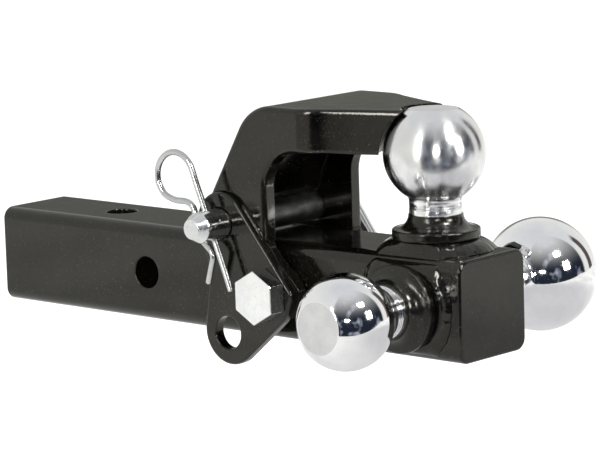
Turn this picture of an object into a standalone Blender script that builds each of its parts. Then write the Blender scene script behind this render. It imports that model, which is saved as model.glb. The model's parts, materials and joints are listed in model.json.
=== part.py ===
"""Tri-ball trailer hitch with a pintle hook.

A solid 2 in square bar carries three chromed tow balls. A pintle hook straddles the bar, pivots on a
cross bolt, and is held shut over the top ball by a bent hitch pin that lies just above the bar.

Frame: origin at the centre of the bar's insertion end, +X to the rear along the bar, +Z up.
Dimensions below are in millimetres and MM turns them into metres.
"""
from math import asin, atan2, ceil, cos, hypot, pi, radians, sin, sqrt, tan

import bmesh
import bpy
from mathutils import Matrix, Vector

MM = 0.001
GAP = 0.3                      # clearance between pieces that touch

# bar
BAR_HALF = 25.4
BAR_LENGTH = 320.0
BAR_CORNER = 6.35
BAR_END_EDGE = 1.6
RECEIVER_HOLE_Y_X = 108.6      # hole across the bar
RECEIVER_HOLE_Z_X = 66.5       # hole down through the bar
HOLE_RADIUS = 8.35
HOLE_CHAMFER = 0.8

# balls: distance of each centre from the bar's axis, ball radius, crown flat radius, neck radius
BALL_X = 285.2
BALLS = {
    "top": {"radius": 25.4, "reach": 72.8, "flat": 12.6, "neck": 13.2, "rim": 31.4, "waist": 43.0},
    "near": {"radius": 23.8, "reach": 69.4, "flat": 12.9, "neck": 13.2, "rim": 27.9, "waist": 39.4},
    "far": {"radius": 29.35, "reach": 82.0, "flat": 13.6, "neck": 15.4, "rim": 29.5, "waist": 42.5},
}
FLANGE_RADIUS = 21.9
FLANGE_FOOT_RADIUS = 20.8
FLANGE_RIM_HEIGHT = 4.5
WELD_TOE_RADIUS = 30.0
WELD_SIDE_REACH = 22.9

# hook
BOLT_X, BOLT_Z = 208.0, 0.5
PIN_X, PIN_Z = 177.5, 34.2
CHEEK_INNER = 29.4
CHEEK_OUTER = 37.3
ARM_TOP = 95.2
ARM_BOTTOM = 72.9
ARM_DROOP = 1.2                # how much deeper the arm is at its nose
NOSE_X = 293.0
NOSE_CLEARANCE = 2.1
HOOK_EDGE = 2.6
BACK_WALL = 9.0
BACK_WALL_FOOT = 44.0
THROAT_RADIUS = 20.0

# side plates
PLATE_OUTER = 41.0
PLATE_THICKNESS = 6.35
PLATE_EDGE = 1.5
PLATE_TRIM = {"near": 0.0, "far": 3.2}   # how much further forward the rear edge is cut
CHAIN_HOLE = (180.6, -21.5)
CHAIN_HOLE_RADIUS = 8.5

# bolt, nut and washers (5/8 in)
BOLT_RADIUS = 7.94
THREAD_RADIUS = 7.75
HEX_FLAT = 11.9                # half across flats
HEX_CROWN = 13.0
BOLT_HEAD_HEIGHT = 9.9
NUT_HEIGHT = 14.0
LOCK_WASHER_THICKNESS = 3.7
LOCK_WASHER_RADIUS = 13.0
SPACER_RADIUS = 12.5

# lock pin (5/8 in bent hitch pin) and its spring clip
PIN_RADIUS = 7.94
PIN_NEAR_END = -62.0
PIN_NOSE_RADIUS = 5.2
PIN_NOSE_LENGTH = 5.3
PIN_BEND_START = 44.5
PIN_BEND_RADIUS = 12.0
PIN_GRIP_LENGTH = 34.0
PIN_GRIP_SLOPE = radians(80)   # how far the grip points below +X, seen from the side
PIN_GRIP_LEAN = radians(28)    # how far it leans away from the side plate
CLIP_Y = -48.0
CLIP_WIRE_RADIUS = 1.6
CLIP_HOLE_RADIUS = 2.1
CLIP_SLOPE = radians(-68)      # direction of the clip's straight leg, from its loop to its tip

PAINT = ("black_paint", (0.012, 0.012, 0.013, 1.0), 0.22, 0.0)
BEAD = ("painted_weld", (0.014, 0.014, 0.014, 1.0), 0.32, 0.0)
CHROME = ("chrome", (0.80, 0.80, 0.81, 1.0), 0.06, 1.0)
ZINC = ("zinc_plate", (0.66, 0.68, 0.70, 1.0), 0.28, 1.0)


def clear_scene():
    for item in list(bpy.data.objects):
        bpy.data.objects.remove(item, do_unlink=True)


def material(spec):
    name, colour, roughness, metallic = spec
    made = bpy.data.materials.get(name)
    if made:
        return made
    made = bpy.data.materials.new(name)
    made.use_nodes = True
    shader = made.node_tree.nodes["Principled BSDF"]
    shader.inputs["Base Color"].default_value = colour
    shader.inputs["Roughness"].default_value = roughness
    shader.inputs["Metallic"].default_value = metallic
    return made


def add_object(name, mesh_data, finish=None, pivot=None):
    """Link a mesh made in world millimetres; a pivot empty becomes its parent and its origin."""
    base = pivot.location if pivot else Vector((0, 0, 0))
    bmesh.ops.scale(mesh_data, vec=(MM, MM, MM), verts=mesh_data.verts)
    bmesh.ops.translate(mesh_data, vec=-base, verts=mesh_data.verts)
    bmesh.ops.recalc_face_normals(mesh_data, faces=mesh_data.faces)
    mesh = bpy.data.meshes.new(name)
    mesh_data.to_mesh(mesh)
    mesh_data.free()
    mesh.shade_smooth()
    mesh.set_sharp_from_angle(angle=radians(35))
    made = bpy.data.objects.new(name, mesh)
    bpy.context.scene.collection.objects.link(made)
    if finish:
        mesh.materials.append(material(finish))
    if pivot:
        made.parent = pivot
    return made


def add_cutter(name, mesh_data):
    made = add_object(name, mesh_data)
    made.hide_render = True
    made.display_type = "WIRE"
    return made


def combine(target, other, operation="DIFFERENCE"):
    step = target.modifiers.new(other.name, "BOOLEAN")
    step.operation = operation
    step.solver = "EXACT"
    step.object = other


def add_pivot(name, x, y, z):
    made = bpy.data.objects.new(name, None)
    bpy.context.scene.collection.objects.link(made)
    made.location = (x * MM, y * MM, z * MM)
    return made


def loft(rings, closed=False):
    """Skin a list of equal rings of 3-D points, capping the ends unless the last meets the first."""
    mesh_data = bmesh.new()
    made = [[mesh_data.verts.new(point) for point in ring] for ring in rings]
    count = len(rings[0])
    pairs = list(zip(made, made[1:]))
    if closed:
        pairs.append((made[-1], made[0]))
    for low, high in pairs:
        for i in range(count):
            j = (i + 1) % count
            mesh_data.faces.new((low[i], low[j], high[j], high[i]))
    if not closed:
        mesh_data.faces.new(made[0])
        mesh_data.faces.new(made[-1])
    return mesh_data


def belt(circles, grow=0.0):
    """Outline that runs anticlockwise round circles (x, z, radius, steps) joined by straight tangents.

    A negative radius is a circle that the outline passes on the inside, for a hollow corner.
    """
    headings = []
    for (x0, z0, r0, _), (x1, z1, r1, _) in zip(circles, circles[1:] + circles[:1]):
        run = hypot(x1 - x0, z1 - z0)
        headings.append(atan2(z1 - z0, x1 - x0) + asin((r0 - r1) / run))
    outline = []
    for i, (x, z, r, steps) in enumerate(circles):
        start, turn = headings[i - 1], headings[i] - headings[i - 1]
        turn = (turn + pi) % (2 * pi) - pi
        if r > 0 and turn < 0:
            turn += 2 * pi
        for k in range(steps + 1):
            angle = start + turn * k / steps
            outline.append((x + (r + grow) * sin(angle), z - (r + grow) * cos(angle)))
    return outline


def rounded_prism(outline_of, low, high, edge, place, steps=3):
    """Extrude outline_of(grow) from low to high with its end edges rounded to the radius edge."""
    levels = [(low + edge * (1 - cos(pi / 2 * k / steps)), -edge * (1 - sin(pi / 2 * k / steps)))
              for k in range(steps + 1)]
    levels += [(low + high - level, grow) for level, grow in reversed(levels)]
    return loft([[place(a, b, level) for a, b in outline_of(grow)] for level, grow in levels])


def plain_prism(outline, low, high, place):
    return loft([[place(a, b, level) for a, b in outline] for level in (low, high)])


def side_view(x, z, y):
    return (x, y, z)


def cross_view(y, z, x):
    return (x, y, z)


def turned(profile, sides=32, place=None):
    """Revolve a profile of (radius, height) about the height axis; a radius of 0 makes a pole."""
    mesh_data = bmesh.new()
    rows = []
    for radius, height in profile:
        if radius == 0:
            rows.append([mesh_data.verts.new((0, 0, height))])
            continue
        rows.append([mesh_data.verts.new((radius * cos(2 * pi * k / sides), radius * sin(2 * pi * k / sides),
                                          height)) for k in range(sides)])
    closed = len(rows[0]) > 1
    pairs = list(zip(rows, rows[1:]))
    if closed:
        pairs.append((rows[-1], rows[0]))
    for low, high in pairs:
        for k in range(sides):
            j = (k + 1) % sides
            face = [low[k], low[j]] if len(low) > 1 else [low[0]]
            face += [high[j], high[k]] if len(high) > 1 else [high[0]]
            mesh_data.faces.new(face)
    if place:
        bmesh.ops.transform(mesh_data, matrix=place, verts=mesh_data.verts)
    return mesh_data


def standing(axis, x=0.0, y=0.0, z=0.0):
    """Matrix that turns the +Z axis of a turned piece to the given world axis at a point."""
    turn = Vector((0, 0, 1)).rotation_difference(Vector(axis)).to_matrix().to_4x4()
    return Matrix.Translation((x, y, z)) @ turn


def tube(points, radii, sides):
    """Sweep a circle along points, with a radius at each of them."""
    path = [Vector(point) for point in points]
    frame = path[1] - path[0]
    across = frame.orthogonal().normalized()
    rings = []
    for i, point in enumerate(path):
        ahead = (path[min(i + 1, len(path) - 1)] - path[max(i - 1, 0)]).normalized()
        across = (across - ahead * across.dot(ahead)).normalized()
        upright = ahead.cross(across)
        rings.append([point + radii[i] * (across * cos(2 * pi * k / sides)
                                          + upright * sin(2 * pi * k / sides))
                      for k in range(sides)])
    return loft(rings)


def arc(x, y, radius, start, end, steps):
    return [(x + radius * cos(start + (end - start) * k / steps),
             y + radius * sin(start + (end - start) * k / steps)) for k in range(steps + 1)]


def smooth_path(points, step):
    """Catmull-Rom curve through 2-D points, sampled about every step millimetres."""
    padded = [points[0]] + points + [points[-1]]
    path = []
    for p0, p1, p2, p3 in zip(padded, padded[1:], padded[2:], padded[3:]):
        count = max(1, ceil(hypot(p2[0] - p1[0], p2[1] - p1[1]) / step))
        for k in range(count):
            t = k / count
            path.append(tuple(
                0.5 * (2 * b + (c - a) * t + (2 * a - 5 * b + 4 * c - d) * t * t
                       + (3 * b - a - 3 * c + d) * t ** 3)
                for a, b, c, d in zip(p0, p1, p2, p3)))
    path.append(points[-1])
    return path


def make_hole_cutters():
    """Cutters shared by every piece that a bolt or pin passes through."""
    reach = BAR_HALF + 6
    mouth = HOLE_RADIUS + reach - BAR_HALF + HOLE_CHAMFER
    flare = [(0, -reach), (mouth, -reach), (HOLE_RADIUS, HOLE_CHAMFER - BAR_HALF),
             (HOLE_RADIUS, BAR_HALF - HOLE_CHAMFER), (mouth, reach), (0, reach)]
    straight = [(0, -60), (HOLE_RADIUS, -60), (HOLE_RADIUS, 60), (0, 60)]
    return {
        "across": add_cutter("cut_receiver_hole_across", turned(
            flare, 32, standing((0, 1, 0), RECEIVER_HOLE_Y_X))),
        "down": add_cutter("cut_receiver_hole_down", turned(
            flare, 32, standing((0, 0, 1), RECEIVER_HOLE_Z_X))),
        "bolt": add_cutter("cut_bolt_hole", turned(
            straight, 32, standing((0, 1, 0), BOLT_X, 0, BOLT_Z))),
        "pin": add_cutter("cut_pin_hole", turned(
            straight, 32, standing((0, 1, 0), PIN_X, 0, PIN_Z))),
    }


def make_bar(holes):
    inset = BAR_HALF - BAR_CORNER
    corners = [(inset, -inset), (inset, inset), (-inset, inset), (-inset, -inset)]
    circles = [(y, z, BAR_CORNER, 6) for y, z in corners]
    bar = add_object("shank_bar", rounded_prism(
        lambda grow: belt(circles, grow), 0, BAR_LENGTH, BAR_END_EDGE, cross_view, 2), PAINT)
    for name in ("across", "down", "bolt"):
        combine(bar, holes[name])


def ball_profile(size):
    """Ball and neck, from the neck's foot up to the small flat on the crown."""
    radius, reach, neck = size["radius"], size["reach"], size["neck"]
    join = asin(neck / radius)
    crown = asin(size["flat"] / radius)
    foot = size["waist"] + GAP
    shoulder = reach - radius * cos(join)
    profile = [(0, foot), (neck + 0.3, foot), (neck, foot + (shoulder - foot) * 0.35)]
    profile.append((neck, shoulder - 0.8))
    rings = 13
    for k in range(rings + 1):
        angle = pi - join * 1.08 + (crown - (pi - join * 1.08)) * k / rings
        profile.append((radius * sin(angle), reach + radius * cos(angle)))
    profile.append((0, reach + radius * cos(crown)))
    return profile


def flange_profile(size):
    """Forged seat under the neck: a rim, then a hollow flare up to the neck."""
    rim, waist, neck = size["rim"], size["waist"], size["neck"] + 0.4
    top = rim + FLANGE_RIM_HEIGHT
    profile = [(0, BAR_HALF + GAP), (FLANGE_FOOT_RADIUS, BAR_HALF + GAP), (FLANGE_FOOT_RADIUS, rim),
               (FLANGE_RADIUS, rim + 0.5), (FLANGE_RADIUS, top - 0.5), (FLANGE_RADIUS - 0.5, top)]
    wide, tall = FLANGE_RADIUS - 0.5 - neck, waist - top
    for k in range(1, 6):
        angle = pi / 2 * k / 5
        profile.append((neck + wide * (1 - sin(angle)), top + tall * (1 - cos(angle))))
    profile.append((0, waist))
    return profile


def bar_surface(lateral):
    """Height of the bar's skin above its axis at a distance to one side of the centre line."""
    flat = BAR_HALF - BAR_CORNER
    beyond = max(0.0, abs(lateral) - flat)
    return flat + sqrt(BAR_CORNER ** 2 - beyond ** 2)


def seat_gap(lateral):
    """Clearance under a bead: a little more over the bar's rounded corners, where it spans in chords."""
    return GAP + (0.3 if abs(lateral) > BAR_HALF - BAR_CORNER - 2.5 else 0.0)


def weld_bead(rim, steps=44):
    """Ring of weld between a flange foot and the bar; its underside follows the bar's corners."""
    inner = FLANGE_FOOT_RADIUS + GAP
    rings = []
    for k in range(steps):
        angle = 2 * pi * k / steps
        along, side = cos(angle), sin(angle)
        toe = min(WELD_TOE_RADIUS, WELD_SIDE_REACH / max(abs(side), 1e-6))
        underside = [inner + (toe - inner) * share for share in (0.0, 0.33, 0.66, 1.0)]
        section = [(radius, bar_surface(radius * side) + seat_gap(radius * side)) for radius in underside]
        lip = section[-1][1] + 0.35
        crest = rim - 0.3
        section.append((toe, lip))
        for share in (0.72, 0.38):
            bulge = 0.16 * (crest - lip) + 0.25
            section.append((inner + (toe - inner) * share, lip + (crest - lip) * (1 - share) + bulge))
        section.append((inner, crest))
        rings.append([(radius * along, radius * side, height) for radius, height in section])
    return loft(rings, closed=True)


def make_balls():
    axes = {"top": (0, 0, 1), "near": (0, -1, 0), "far": (0, 1, 0)}
    for name, size in BALLS.items():
        place = standing(axes[name], BALL_X)
        add_object(name + "_ball", turned(ball_profile(size), 36, place), CHROME)
        add_object(name + "_ball_flange", turned(flange_profile(size), 32, place), PAINT)
        bead = weld_bead(size["rim"])
        bmesh.ops.transform(bead, matrix=place, verts=bead.verts)
        add_object(name + "_ball_weld", bead, BEAD)


def cheek_circles():
    """Side view of the hook without its arm: bolt boss, throat edge, head and pin boss."""
    return [
        (BOLT_X + 0.3, BOLT_Z, 14.7, 8),
        (219.5, 1.6, 4.5, 4),
        (207.8, 24.8, -3.0, 3),
        (204.8 + THROAT_RADIUS, ARM_BOTTOM - THROAT_RADIUS, -THROAT_RADIUS, 8),
        (227.0, ARM_BOTTOM + 3.4, 3.4, 4),
        (227.0, ARM_TOP - 3.4, 3.4, 4),
        (209.8, ARM_TOP - 25.0, 25.0, 7),
        (PIN_X, PIN_Z, 15.6, 8),
    ]


def arm_half_width(x):
    """Half width of the hook's arm in plan: full at the cheeks, then a beak towards the nose."""
    shoulder, tip = CHEEK_OUTER - 0.06, 11.0
    start, middle, end = 228.0, 240.0, NOSE_X
    waist_width = 32.4
    if x <= start:
        return shoulder
    if x <= middle:
        share = (x - start) / (middle - start)
        return shoulder - (shoulder - waist_width) * share ** 1.6
    share = (x - middle) / (end - middle)
    return waist_width + (tip - waist_width) * (1.16 * share - 0.16 * share ** 2)


def arm_outline(grow):
    stations = [213.0, 228.0, 231.0, 234.0, 237.0, 240.0, 247.0, 256.0, 266.0, 279.0, NOSE_X]
    near = [(x, -arm_half_width(x) - grow) for x in stations]
    return near + [(x, -y) for x, y in reversed(near)]


def arm_view(x, y, z):
    """Plan view whose underside droops towards the nose."""
    depth = (ARM_TOP - z) / (ARM_TOP - ARM_BOTTOM)
    return (x, y, z - ARM_DROOP * depth * max(0.0, x - 236.0) / (NOSE_X - 236.0))


def channel_circles():
    """Side view of the hollow between the cheeks, open to the throat and, low down, to the back."""
    slope = atan2(76.7 - 47.9, 184.6 - 167.4)
    inset_x, inset_z = BACK_WALL * sin(slope), -BACK_WALL * cos(slope)
    foot = (168.0 + inset_x, 48.0 + inset_z)
    return [
        (150.0, -60.0, 2.0, 2),
        (310.0, -60.0, 2.0, 2),
        (310.0, ARM_BOTTOM - 2.0, 2.0, 2),
        (201.0, ARM_BOTTOM - 9.0, 9.0, 5),
        (foot[0] + 2.0, BACK_WALL_FOOT - 2.0, -2.0, 3),
        (150.0, BACK_WALL_FOOT - 2.0, 2.0, 2),
    ]


def plate_circles(side):
    """Side plate outline: chain ear, bolt end, sharp rear corner, pin end and a hollow front edge."""
    trim = PLATE_TRIM[side]
    return [
        (181.8, -21.0, 17.0, 9),
        (206.6 - trim, -1.4, 16.0, 6),
        (219.5 - trim, 1.0, 4.7, 4),
        (PIN_X, PIN_Z, 16.0 - 0.6 * trim, 8),
        (128.5, 6.5, -40.0, 7),
    ]


def make_hook(holes, pivot):
    hook = add_object("pintle_hook", rounded_prism(
        lambda grow: belt(cheek_circles(), grow), -CHEEK_OUTER, CHEEK_OUTER, HOOK_EDGE, side_view),
        PAINT, pivot)
    arm = add_cutter("join_arm", rounded_prism(
        arm_outline, ARM_BOTTOM, ARM_TOP, HOOK_EDGE, arm_view))
    combine(hook, arm, "UNION")
    channel = add_cutter("cut_channel", rounded_prism(
        lambda grow: belt(channel_circles(), grow), -CHEEK_INNER, CHEEK_INNER, 1.8, side_view, 2))
    combine(hook, channel)
    nose_radius = BALLS["top"]["radius"] + NOSE_CLEARANCE
    rings = 16
    sphere = [(nose_radius * sin(pi * k / rings), -nose_radius * cos(pi * k / rings))
              for k in range(1, rings)]
    sphere = [(0, -nose_radius)] + sphere + [(0, nose_radius)]
    combine(hook, add_cutter("cut_nose", turned(
        sphere, 40, standing((0, 0, 1), BALL_X, 0, BALLS["top"]["reach"]))))
    for side, sign in (("near", -1), ("far", 1)):
        floor = sign * (PLATE_OUTER - PLATE_THICKNESS - GAP)
        outside = sign * (CHEEK_OUTER + 5)
        pocket = plain_prism(belt(plate_circles(side), GAP), floor, outside, side_view)
        combine(hook, add_cutter("cut_pocket_" + side, pocket))
    combine(hook, holes["bolt"])
    combine(hook, holes["pin"])


def make_side_plates(holes, pivot):
    x, z = CHAIN_HOLE
    cutter = [(0, -60), (CHAIN_HOLE_RADIUS, -60), (CHAIN_HOLE_RADIUS, 60), (0, 60)]
    chain = add_cutter("cut_chain_hole", turned(cutter, 32, standing((0, 1, 0), x, 0, z)))
    for side, sign in (("near", -1), ("far", 1)):
        low, high = sorted((sign * (PLATE_OUTER - PLATE_THICKNESS), sign * PLATE_OUTER))
        plate = add_object(side + "_side_plate", rounded_prism(
            lambda grow: belt(plate_circles(side), grow), low, high, PLATE_EDGE, side_view, 2),
            PAINT, pivot)
        for cut in (holes["bolt"], holes["pin"], chain):
            combine(plate, cut)
        add_object(side + "_plate_weld", plate_bead(side, sign), BEAD, pivot)


def plate_bead(side, sign, size=1.7, steps=10):
    """Fillet weld on the cheek along a plate's slanted rear edge."""
    x0, z0, x1, z1 = plate_seam(side)
    out = Vector((z0 - z1, 0, x1 - x0)).normalized()
    surface = sign * (CHEEK_OUTER + GAP)
    rings = []
    for k in range(steps + 1):
        leg = size * (1.0 if 0 < k < steps else 0.45)
        foot = Vector((x0 + (x1 - x0) * k / steps, surface, z0 + (z1 - z0) * k / steps))
        middle = foot + out * leg * 0.62 + Vector((0, sign * leg * 0.62, 0))
        rings.append([foot, foot + out * leg, middle, foot + Vector((0, sign * leg, 0))])
    return loft(rings)


def plate_seam(side):
    """Ends of the plate's slanted rear edge where it lies on the cheek, one gap outside the plate."""
    x0, z0, r0, _ = plate_circles(side)[2]
    x1, z1, r1, _ = plate_circles(side)[3]
    run = hypot(x1 - x0, z1 - z0)
    heading = atan2(z1 - z0, x1 - x0) + asin((r0 - r1) / run)
    out_x, out_z = sin(heading), -cos(heading)
    start = (x0 + (r0 + GAP) * out_x, z0 + (r0 + GAP) * out_z)
    end = (x1 + (r1 + GAP) * out_x, z1 + (r1 + GAP) * out_z)
    ends = []
    for share in (0.01, (end[0] - 203.2) / (end[0] - start[0])):
        ends += [end[0] + (start[0] - end[0]) * share, end[1] + (start[1] - end[1]) * share]
    return ends


def hexagon(angle):
    """Distance from the centre to the side of the hexagon at an angle; a flat faces angle 0."""
    return HEX_FLAT / cos((angle + pi / 6) % (pi / 3) - pi / 6)


def hex_block(height, bore=0.0, sides=36):
    """Hexagon prism standing on its base, with its upper edge and corners eased, and an optional bore.

    A bored one is a nut, eased at both ends.
    """
    angles = [2 * pi * k / sides for k in range(sides)]
    full = [hexagon(angle) for angle in angles]
    eased = [min(radius - 0.4, HEX_CROWN) for radius in full]
    drops = [(radius - small) * tan(pi / 6) for radius, small in zip(full, eased)]
    rows = [[(radius, 0) for radius in full]]
    if bore:
        rows = [[(small, 0) for small in eased], list(zip(full, drops))]
    rows.append([(radius, height - drop) for radius, drop in zip(full, drops)])
    rows.append([(small, height) for small in eased])
    if bore:
        rows += [[(bore, height) for _ in angles], [(bore, 0) for _ in angles]]
    points = [[(r * cos(a), r * sin(a), h) for a, (r, h) in zip(angles, row)] for row in rows]
    return loft(points, closed=bool(bore))


def make_bolt_set():
    near_face = -(PLATE_OUTER + GAP)
    washer_low = PLATE_OUTER + GAP
    nut_low = washer_low + LOCK_WASHER_THICKNESS + GAP
    bolt_end = nut_low + NUT_HEIGHT + 3.2
    head = hex_block(BOLT_HEAD_HEIGHT)
    place = standing((0, -1, 0), BOLT_X, near_face, BOLT_Z)
    bmesh.ops.transform(head, matrix=place, verts=head.verts)
    bolt = add_object("pivot_bolt", head, ZINC)
    stem = [(0, -1.0), (BOLT_RADIUS, -1.0), (BOLT_RADIUS, washer_low - near_face - 6),
            (THREAD_RADIUS, washer_low - near_face - 5.6),
            (THREAD_RADIUS, bolt_end - near_face - 1.2), (THREAD_RADIUS - 1.2, bolt_end - near_face),
            (0, bolt_end - near_face)]
    combine(bolt, add_cutter("join_bolt_stem", turned(
        stem, 28, standing((0, 1, 0), BOLT_X, near_face, BOLT_Z))), "UNION")
    nut = hex_block(NUT_HEIGHT, THREAD_RADIUS + 0.4)
    place = standing((0, 1, 0), BOLT_X, nut_low, BOLT_Z) @ Matrix.Rotation(pi / 6, 4, "Z")
    bmesh.ops.transform(nut, matrix=place, verts=nut.verts)
    add_object("pivot_nut", nut, ZINC)
    make_ring("lock_washer", LOCK_WASHER_RADIUS, washer_low, washer_low + LOCK_WASHER_THICKNESS, ZINC)
    for side, sign in (("near", -1), ("far", 1)):
        low, high = sorted((sign * (BAR_HALF + GAP), sign * (CHEEK_INNER - GAP)))
        make_ring(side + "_spacer", SPACER_RADIUS, low, high, PAINT)


def make_ring(name, radius, low, high, finish):
    """Washer on the pivot bolt between two heights along +Y."""
    edge = 0.4
    profile = [(HOLE_RADIUS, low), (radius - edge, low), (radius, low + edge), (radius, high - edge),
               (radius - edge, high), (HOLE_RADIUS, high)]
    return add_object(name, turned(profile, 28, standing((0, 1, 0), BOLT_X, 0, BOLT_Z)), finish)


def make_lock_pin(pivot):
    along = Vector((cos(PIN_GRIP_SLOPE), 0, -sin(PIN_GRIP_SLOPE)))
    grip = along * cos(PIN_GRIP_LEAN) + Vector((0, sin(PIN_GRIP_LEAN), 0))
    points = [Vector((0, PIN_NEAR_END, 0)), Vector((0, PIN_NEAR_END + PIN_NOSE_LENGTH, 0)),
              Vector((0, PIN_NEAR_END + PIN_NOSE_LENGTH + 0.8, 0))]
    radii = [PIN_NOSE_RADIUS, PIN_RADIUS - 0.15, PIN_RADIUS]
    bend = pi / 2 - PIN_GRIP_LEAN
    steps = 8
    for k in range(steps + 1):
        angle = bend * k / steps
        points.append(Vector((0, PIN_BEND_START + PIN_BEND_RADIUS * sin(angle), 0))
                      + along * PIN_BEND_RADIUS * (1 - cos(angle)))
        radii.append(PIN_RADIUS)
    foot = points[-1]
    points += [foot + grip * (PIN_GRIP_LENGTH - 1.5), foot + grip * PIN_GRIP_LENGTH]
    radii += [PIN_RADIUS, PIN_RADIUS - 1.5]
    base = Vector((PIN_X, 0, PIN_Z))
    pin = add_object("lock_pin", tube([base + point for point in points], radii, 28), ZINC, pivot)
    hole = [(0, -20), (CLIP_HOLE_RADIUS, -20), (CLIP_HOLE_RADIUS, 20), (0, 20)]
    direction = (cos(CLIP_SLOPE), 0, sin(CLIP_SLOPE))
    combine(pin, add_cutter("cut_clip_hole", turned(
        hole, 16, standing(direction, PIN_X, CLIP_Y, PIN_Z))))


def clip_path():
    """Centre line of the wire beside the pin: straight leg, loop, hollow, wrap round the pin, tip."""
    loop_u, loop_radius = -30.0, 12.6
    hug = PIN_RADIUS + CLIP_WIRE_RADIUS + 0.45
    straight = [(34.9, 0.0), (24.0, 0.0), (12.0, 0.0), (0.0, 0.0), (-12.0, 0.0), (-22.0, 0.1)]
    loop = arc(loop_u, loop_radius, loop_radius, -pi / 2, -3 * pi / 2, 12)
    hollow = [(-24.0, 23.4), (-19.3, 17.8), (-16.6, 11.4), (-13.6, 8.0), (-9.6, 7.2)]
    wrap = arc(0.0, 0.0, hug, radians(121), radians(59), 4)
    tip = [(8.9, 6.4), (12.6, 4.6), (15.6, 4.9), (19.6, 7.9), (26.7, 13.6)]
    return smooth_path(straight + loop + hollow + wrap + tip, 2.6)


def make_clip(pivot):
    ahead_x, ahead_z = cos(CLIP_SLOPE), sin(CLIP_SLOPE)
    points = [(PIN_X + u * ahead_x + v * ahead_z, CLIP_Y, PIN_Z + u * ahead_z - v * ahead_x)
              for u, v in clip_path()]
    radii = [CLIP_WIRE_RADIUS] * len(points)
    radii[0] = radii[-1] = CLIP_WIRE_RADIUS - 0.4
    add_object("spring_clip", tube(points, radii, 8), ZINC, pivot)


def main():
    clear_scene()
    holes = make_hole_cutters()
    hook_pivot = add_pivot("hook_pivot", BOLT_X, 0, BOLT_Z)
    pin_axis = add_pivot("lock_pin_axis", PIN_X, 0, PIN_Z)
    clip_axis = add_pivot("clip_axis", PIN_X, CLIP_Y, PIN_Z)
    make_bar(holes)
    make_balls()
    make_bolt_set()
    make_hook(holes, hook_pivot)
    make_side_plates(holes, hook_pivot)
    make_lock_pin(pin_axis)
    make_clip(clip_axis)


main()
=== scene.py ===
"""Looks for the tri-ball trailer hitch with a pintle hook.

Smooth painted, chromed and zinc-plated pieces stand for the CAD nodes, in a plain white studio.
"""

import json
from math import asin, atan2, ceil, cos, hypot, pi, radians, sin, sqrt, tan

import bmesh
import bpy
from mathutils import Matrix, Vector


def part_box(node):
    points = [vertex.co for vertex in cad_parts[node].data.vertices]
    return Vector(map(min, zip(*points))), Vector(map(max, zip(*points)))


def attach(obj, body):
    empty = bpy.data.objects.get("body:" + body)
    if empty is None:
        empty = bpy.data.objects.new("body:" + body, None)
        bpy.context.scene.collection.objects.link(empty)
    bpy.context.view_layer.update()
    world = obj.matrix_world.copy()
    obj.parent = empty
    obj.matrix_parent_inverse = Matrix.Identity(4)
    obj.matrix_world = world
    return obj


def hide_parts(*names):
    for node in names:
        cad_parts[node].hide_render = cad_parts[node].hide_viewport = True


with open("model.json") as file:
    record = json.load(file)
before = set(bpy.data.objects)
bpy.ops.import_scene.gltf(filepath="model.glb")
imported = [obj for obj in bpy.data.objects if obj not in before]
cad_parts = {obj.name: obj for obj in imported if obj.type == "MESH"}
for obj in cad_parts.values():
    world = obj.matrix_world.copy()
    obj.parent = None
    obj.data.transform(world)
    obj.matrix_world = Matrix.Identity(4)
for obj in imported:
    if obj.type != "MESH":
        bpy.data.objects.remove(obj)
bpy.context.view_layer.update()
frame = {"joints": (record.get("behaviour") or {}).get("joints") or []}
MM = 0.001


def box_mm(node):
    low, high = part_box(node)
    return low / MM, high / MM


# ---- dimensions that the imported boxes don't give, in millimetres ----
GAP = 0.3                      # clearance between pieces that touch
TINY = 1e-6
BAR_END_EDGE = 1.6
RECEIVER_HOLE_Y_X = 108.6      # hole across the bar
RECEIVER_HOLE_Z_X = 66.5       # hole down through the bar
HOLE_RADIUS = 8.35
HOLE_EDGE = 0.8
BORE_EDGE = 0.3
HOLE_OVERSHOOT = 6.0

# flat, neck, rim and waist as in the CAD; grooves are shares of the neck's length
BALLS = {
    "top": {"axis": (0, 0, 1), "flat": 12.6, "neck": 13.2, "rim": 31.4, "waist": 43.0,
            "grooves": (0.24, 0.46)},
    "near": {"axis": (0, -1, 0), "flat": 12.9, "neck": 13.2, "rim": 27.9, "waist": 39.4,
             "grooves": (0.16, 0.34, 0.52)},
    "far": {"axis": (0, 1, 0), "flat": 13.6, "neck": 15.4, "rim": 29.5, "waist": 42.5,
            "grooves": (0.16, 0.34, 0.52)},
}
NECK_COLLAR = 1.5              # plain length of neck below its grooves
GROOVE_DEPTH = 0.3
FLANGE_RADIUS = 21.9
FLANGE_FOOT_RADIUS = 20.8
FLANGE_RIM_HEIGHT = 4.5
FLANGE_LOW_EDGE, FLANGE_TOP_EDGE = 0.6, 0.8
WELD_TOE_RADIUS = 29.7
WELD_SIDE_REACH = 22.9
WELD_WAVES = ((0.22, 11, 0.0), (0.14, 23, 1.0), (0.10, 37, 2.2))   # size, count around, phase

CHEEK_THICKNESS = 7.9
ARM_DEPTH = 22.3
ARM_DROOP = 1.2                # how much deeper the arm is at its nose
ARM_DROOP_X = 236.0
ARM_STEP_X, ARM_ROOT_X, NOSE_X = 228.0, 240.0, 293.0
ARM_ROOT_WIDTH, ARM_NOSE_WIDTH = 32.4, 11.0   # half widths
NOSE_CLEARANCE = 2.1
HOOK_EDGE = 2.6
BACK_LOW, BACK_HIGH = (167.4, 47.9), (184.6, 76.7)   # two points on the slanted back
BACK_WALL = 9.0
BACK_FOOT = (168.0, 42.0)
THROAT_RADIUS = 20.0

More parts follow.
